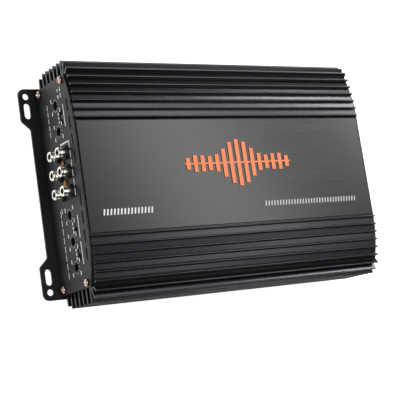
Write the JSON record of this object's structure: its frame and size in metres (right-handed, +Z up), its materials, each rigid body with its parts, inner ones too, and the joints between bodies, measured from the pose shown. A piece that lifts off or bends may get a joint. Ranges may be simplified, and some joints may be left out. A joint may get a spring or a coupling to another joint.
{
  "type": "car amplifier",
  "caption": "Flat finned car audio amplifier with a brushed top plate, input sockets and level controls at one end, power and speaker terminals at the other, on a base plate with slotted ears.",
  "frame": {"origin": "centre of the base plate, on its underside", "axes": "+X along the heatsink from the input end to the output end, +Y across it, +Z up out of the finned top"},
  "size_m": [0.303, 0.1844, 0.0636],
  "materials": {
    "anodised_aluminium": "black anodised extrusion, semi-gloss with fine die lines",
    "black_plastic": "moulded, fine matte texture",
    "black_steel": "semi-gloss black powder coat",
    "brown_zinc": "zinc plate with a yellow-brown passivation",
    "brushed_plate": "dark anodised sheet, brushed lengthwise",
    "capacitor_sleeve": "shrunk sleeve over an aluminium can",
    "circuit_board": "glass-epoxy board with green solder mask",
    "enamelled_copper": "enamelled copper wire",
    "ferrite": "sintered ferrite with a dull coating",
    "fuse_plastic": "tinted moulded fuse body",
    "grey_plastic": "moulded, smooth",
    "grey_steel": "satin dark grey paint with white printed marks",
    "nickel": "bright nickel plate",
    "orange_print": "satin orange print",
    "zinc_steel": "bright zinc plate"
  },
  "bodies": {
    "amplifier": {"base_plate": "black_steel", "base_screw_1": "zinc_steel", "base_screw_2": "zinc_steel", "base_screw_3": "zinc_steel", "base_screw_4": "zinc_steel", "capacitor_1": "capacitor_sleeve", "capacitor_2": "capacitor_sleeve", "emblem": "orange_print", "fuse_holder": "black_plastic", "heatsink": "anodised_aluminium", "input_panel": "grey_steel", "lower_control_board": "circuit_board", "main_board": "circuit_board", "nameplate": "brushed_plate", "output_panel": "grey_steel", "panel_screw_1": "nickel", "panel_screw_2": "nickel", "panel_screw_3": "nickel", "panel_screw_4": "nickel", "panel_screw_5": "nickel", "panel_screw_6": "nickel", "panel_screw_7": "nickel", "panel_screw_8": "nickel", "pot_housing_1": "black_plastic", "pot_housing_2": "black_plastic", "pot_housing_3": "black_plastic", "pot_housing_4": "black_plastic", "pot_housing_5": "black_plastic", "power_terminal_block": "black_plastic", "rca_block": "black_plastic", "rca_screw_1": "brown_zinc", "rca_screw_2": "brown_zinc", "rca_shell_1": "nickel", "rca_shell_2": "nickel", "rca_shell_3": "nickel", "rca_shell_4": "nickel", "rca_shell_5": "nickel", "rca_shell_6": "nickel", "speaker_terminal_block": "black_plastic", "switch_housing_1": "zinc_steel", "switch_housing_2": "zinc_steel", "switch_housing_3": "zinc_steel", "toroid_core": "ferrite", "toroid_winding": "enamelled_copper", "transistor_row_1": "black_plastic", "transistor_row_2": "black_plastic", "upper_control_board": "circuit_board"},
    "pot_shaft_1": {"pot_shaft_1": "grey_plastic"},
    "pot_shaft_2": {"pot_shaft_2": "grey_plastic"},
    "pot_shaft_3": {"pot_shaft_3": "grey_plastic"},
    "pot_shaft_4": {"pot_shaft_4": "grey_plastic"},
    "pot_shaft_5": {"pot_shaft_5": "grey_plastic"},
    "switch_knob_1": {"switch_knob_1": "black_plastic"},
    "switch_knob_2": {"switch_knob_2": "black_plastic"},
    "switch_knob_3": {"switch_knob_3": "black_plastic"},
    "fuse_1": {"fuse_1": "fuse_plastic"},
    "fuse_2": {"fuse_2": "fuse_plastic"},
    "power_terminal_screw_1": {"power_terminal_screw_1": "nickel"},
    "power_terminal_screw_2": {"power_terminal_screw_2": "nickel"},
    "power_terminal_screw_3": {"power_terminal_screw_3": "nickel"}
  },
  "joints": [
    {"name": "pot_turn_1", "type": "hinge", "parent": "amplifier", "child": "pot_shaft_1", "pos_m": [-0.1335, 0.0608, 0.0338], "axis": [1, 0, 0], "range_deg": [-140, 140]},
    {"name": "pot_turn_2", "type": "hinge", "parent": "amplifier", "child": "pot_shaft_2", "pos_m": [-0.1335, 0.0406, 0.0338], "axis": [1, 0, 0], "range_deg": [-140, 140]},
    {"name": "pot_turn_3", "type": "hinge", "parent": "amplifier", "child": "pot_shaft_3", "pos_m": [-0.1335, -0.024, 0.0338], "axis": [1, 0, 0], "range_deg": [-140, 140]},
    {"name": "pot_turn_4", "type": "hinge", "parent": "amplifier", "child": "pot_shaft_4", "pos_m": [-0.1335, -0.0438, 0.0338], "axis": [1, 0, 0], "range_deg": [-140, 140]},
    {"name": "pot_turn_5", "type": "hinge", "parent": "amplifier", "child": "pot_shaft_5", "pos_m": [-0.1335, -0.0635, 0.0338], "axis": [1, 0, 0], "range_deg": [-140, 140]},
    {"name": "switch_slide_1", "type": "slide", "parent": "amplifier", "child": "switch_knob_1", "axis": [0, 1, 0], "range_m": [-0.002, 0.002]},
    {"name": "switch_slide_2", "type": "slide", "parent": "amplifier", "child": "switch_knob_2", "axis": [0, 1, 0], "range_m": [-0.004, 0]},
    {"name": "switch_slide_3", "type": "slide", "parent": "amplifier", "child": "switch_knob_3", "axis": [0, 1, 0], "range_m": [-0.004, 0]},
    {"name": "fuse_pull_1", "type": "slide", "parent": "amplifier", "child": "fuse_1", "axis": [1, 0, 0], "range_m": [0, 0.012]},
    {"name": "fuse_pull_2", "type": "slide", "parent": "amplifier", "child": "fuse_2", "axis": [1, 0, 0], "range_m": [0, 0.012]},
    {"name": "terminal_screw_turn_1", "type": "hinge", "parent": "amplifier", "child": "power_terminal_screw_1", "pos_m": [0.141, -0.06, 0.0323], "axis": [0, 0, 1], "range_deg": [-1800, 0]},
    {"name": "terminal_screw_turn_2", "type": "hinge", "parent": "amplifier", "child": "power_terminal_screw_2", "pos_m": [0.141, -0.047, 0.0323], "axis": [0, 0, 1], "range_deg": [-1800, 0]},
    {"name": "terminal_screw_turn_3", "type": "hinge", "parent": "amplifier", "child": "power_terminal_screw_3", "pos_m": [0.141, -0.034, 0.0323], "axis": [0, 0, 1], "range_deg": [-1800, 0]}
  ]
}
